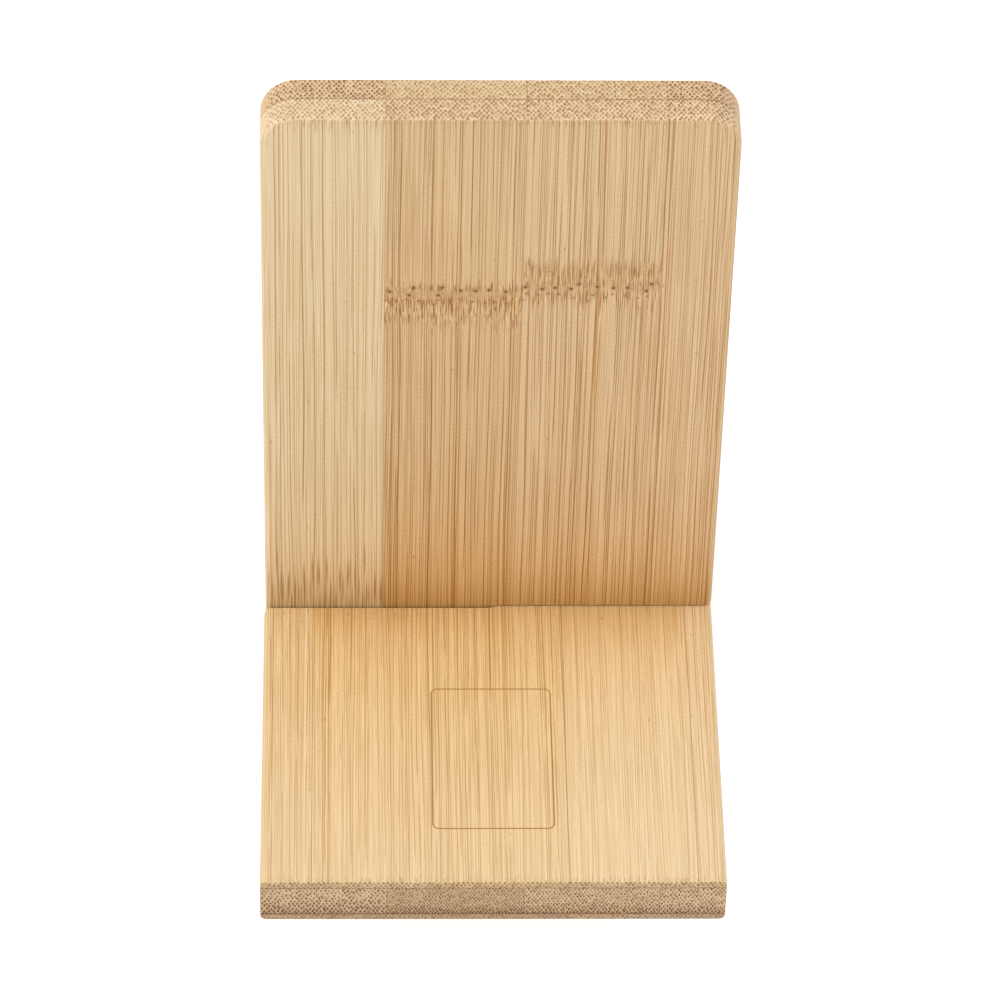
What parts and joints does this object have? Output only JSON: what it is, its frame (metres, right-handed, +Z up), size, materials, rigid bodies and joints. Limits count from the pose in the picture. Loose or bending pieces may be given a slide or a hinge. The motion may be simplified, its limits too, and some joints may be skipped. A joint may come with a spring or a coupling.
{
  "type": "phone holder",
  "caption": "Bamboo phone holder: a tall back plate and a tilted base plate, glued up from strips, slide into each other by side slots and stand as a leaning cross.",
  "frame": {"origin": "centre of the holder's box, on the ground that it stands on", "axes": "+Z up, -Y towards the person who looks at the phone, +X to that person's right"},
  "size_m": [0.075, 0.115, 0.1332],
  "materials": {
    "back_front_bamboo": "satin bamboo, long grain, the front ply of the back plate",
    "back_rear_bamboo": "satin bamboo, long grain, the rear ply of the back plate",
    "base_top_bamboo": "satin bamboo, long grain, the top face ply of the base plate",
    "base_core_bamboo": "satin bamboo, end grain at the plate's ends, the core ply of the base plate",
    "base_bottom_bamboo": "satin bamboo, long grain, the bottom face ply of the base plate"
  },
  "bodies": {
    "base_plate": {"base_top_strip_1_front": "base_top_bamboo", "base_top_strip_1_rear": "base_top_bamboo", "base_top_strip_2_front": "base_top_bamboo", "base_top_strip_2_rear": "base_top_bamboo", "base_top_strip_3": "base_top_bamboo", "base_top_strip_4": "base_top_bamboo", "base_top_strip_5": "base_top_bamboo", "base_core_strip_1_front": "base_core_bamboo", "base_core_strip_1_rear": "base_core_bamboo", "base_core_strip_2": "base_core_bamboo", "base_core_strip_3": "base_core_bamboo", "base_core_strip_4": "base_core_bamboo", "base_bottom_strip_1_front": "base_bottom_bamboo", "base_bottom_strip_1_rear": "base_bottom_bamboo", "base_bottom_strip_2_front": "base_bottom_bamboo", "base_bottom_strip_2_rear": "base_bottom_bamboo", "base_bottom_strip_3": "base_bottom_bamboo", "base_bottom_strip_4": "base_bottom_bamboo", "base_bottom_strip_5": "base_bottom_bamboo"},
    "back_plate": {"back_front_strip_1": "back_front_bamboo", "back_front_strip_2": "back_front_bamboo", "back_front_strip_3_lower": "back_front_bamboo", "back_front_strip_3_upper": "back_front_bamboo", "back_front_strip_4_lower": "back_front_bamboo", "back_front_strip_4_upper": "back_front_bamboo", "back_rear_strip_1": "back_rear_bamboo", "back_rear_strip_2": "back_rear_bamboo", "back_rear_strip_3_lower": "back_rear_bamboo", "back_rear_strip_3_upper": "back_rear_bamboo", "back_rear_strip_4_lower": "back_rear_bamboo", "back_rear_strip_4_upper": "back_rear_bamboo"}
  },
  "joints": [
    {"name": "back_slides_out", "type": "slide", "parent": "base_plate", "child": "back_plate", "axis": [-1, 0, 0], "range_m": [0, 0.038]}
  ]
}
